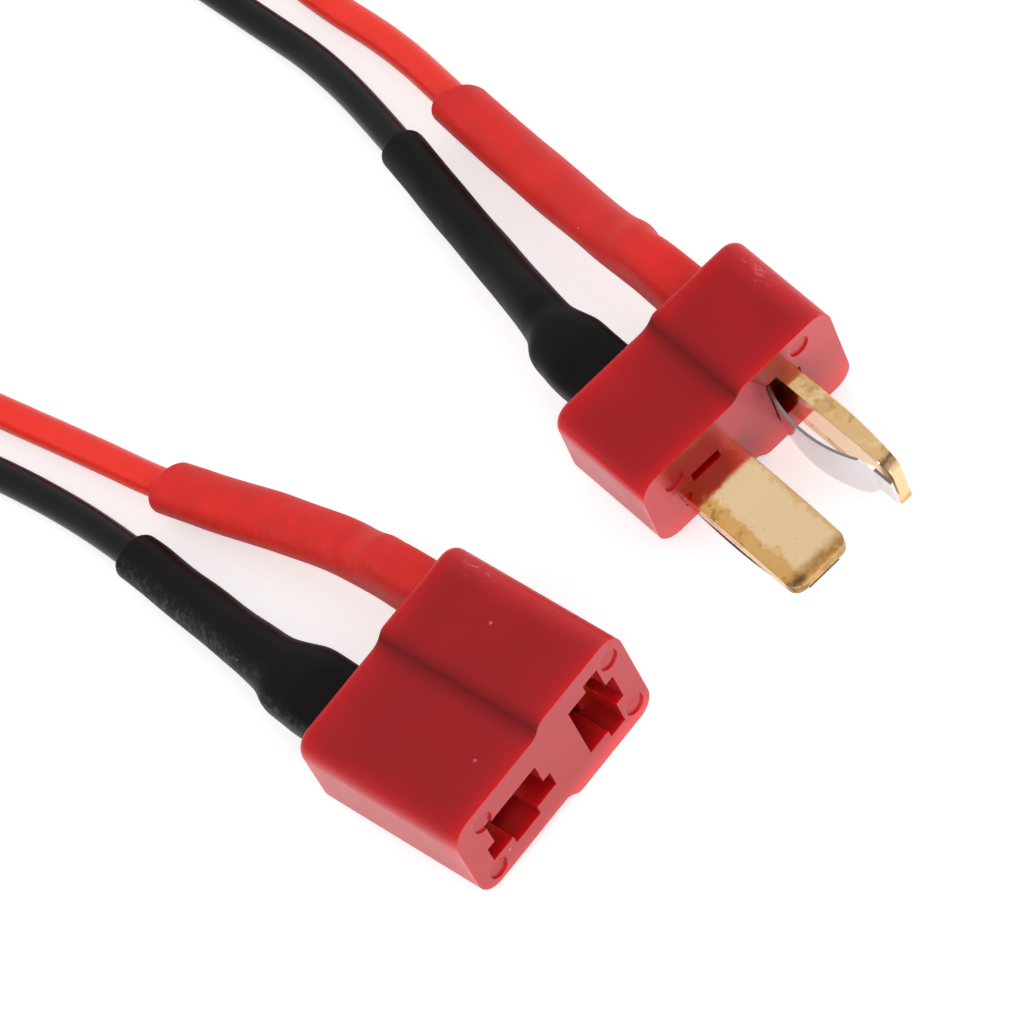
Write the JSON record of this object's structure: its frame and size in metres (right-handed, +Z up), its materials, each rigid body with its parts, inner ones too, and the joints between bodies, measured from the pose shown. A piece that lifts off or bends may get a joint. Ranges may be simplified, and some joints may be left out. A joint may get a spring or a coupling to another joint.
{
  "type": "battery charging lead",
  "caption": "Short red and black silicone battery charging lead with a female and a male keyed two-blade plug, each wire soldered to its tab under a heat-shrink sleeve.",
  "frame": {"origin": "bottom centre of the box round the two plugs and their sleeves, on the surface that the lead lies on", "axes": "+X out of the female plug's mating face, +Z up from the surface that the lead lies on"},
  "size_m": [0.106, 0.049, 0.0091],
  "materials": {
    "housing": "moulded nylon, satin, darker on top and paler on the mating faces",
    "contact_metal": "gold-plated brass with tarnish blotches",
    "spring_steel": "bright rolled strip",
    "solder": "bright tin solder",
    "conductor": "tinned copper strands",
    "red_sleeve": "matte heat-shrink tube",
    "black_sleeve": "matte heat-shrink tube",
    "red_wire": "smooth silicone insulation",
    "black_wire": "smooth silicone insulation"
  },
  "bodies": {
    "root": {"female_housing": "housing", "male_housing": "housing", "female_flat_contact": "contact_metal", "female_upright_contact": "contact_metal", "male_flat_blade": "contact_metal", "male_upright_blade": "contact_metal", "male_flat_spring": "spring_steel", "male_upright_spring": "spring_steel", "red_female_solder": "solder", "black_female_solder": "solder", "red_male_solder": "solder", "black_male_solder": "solder", "red_female_conductor": "conductor", "black_female_conductor": "conductor", "red_male_conductor": "conductor", "black_male_conductor": "conductor", "red_female_sleeve": "red_sleeve", "red_male_sleeve": "red_sleeve", "black_female_sleeve": "black_sleeve", "black_male_sleeve": "black_sleeve", "red_wire": "red_wire", "black_wire": "black_wire"}
  },
  "joints": []
}
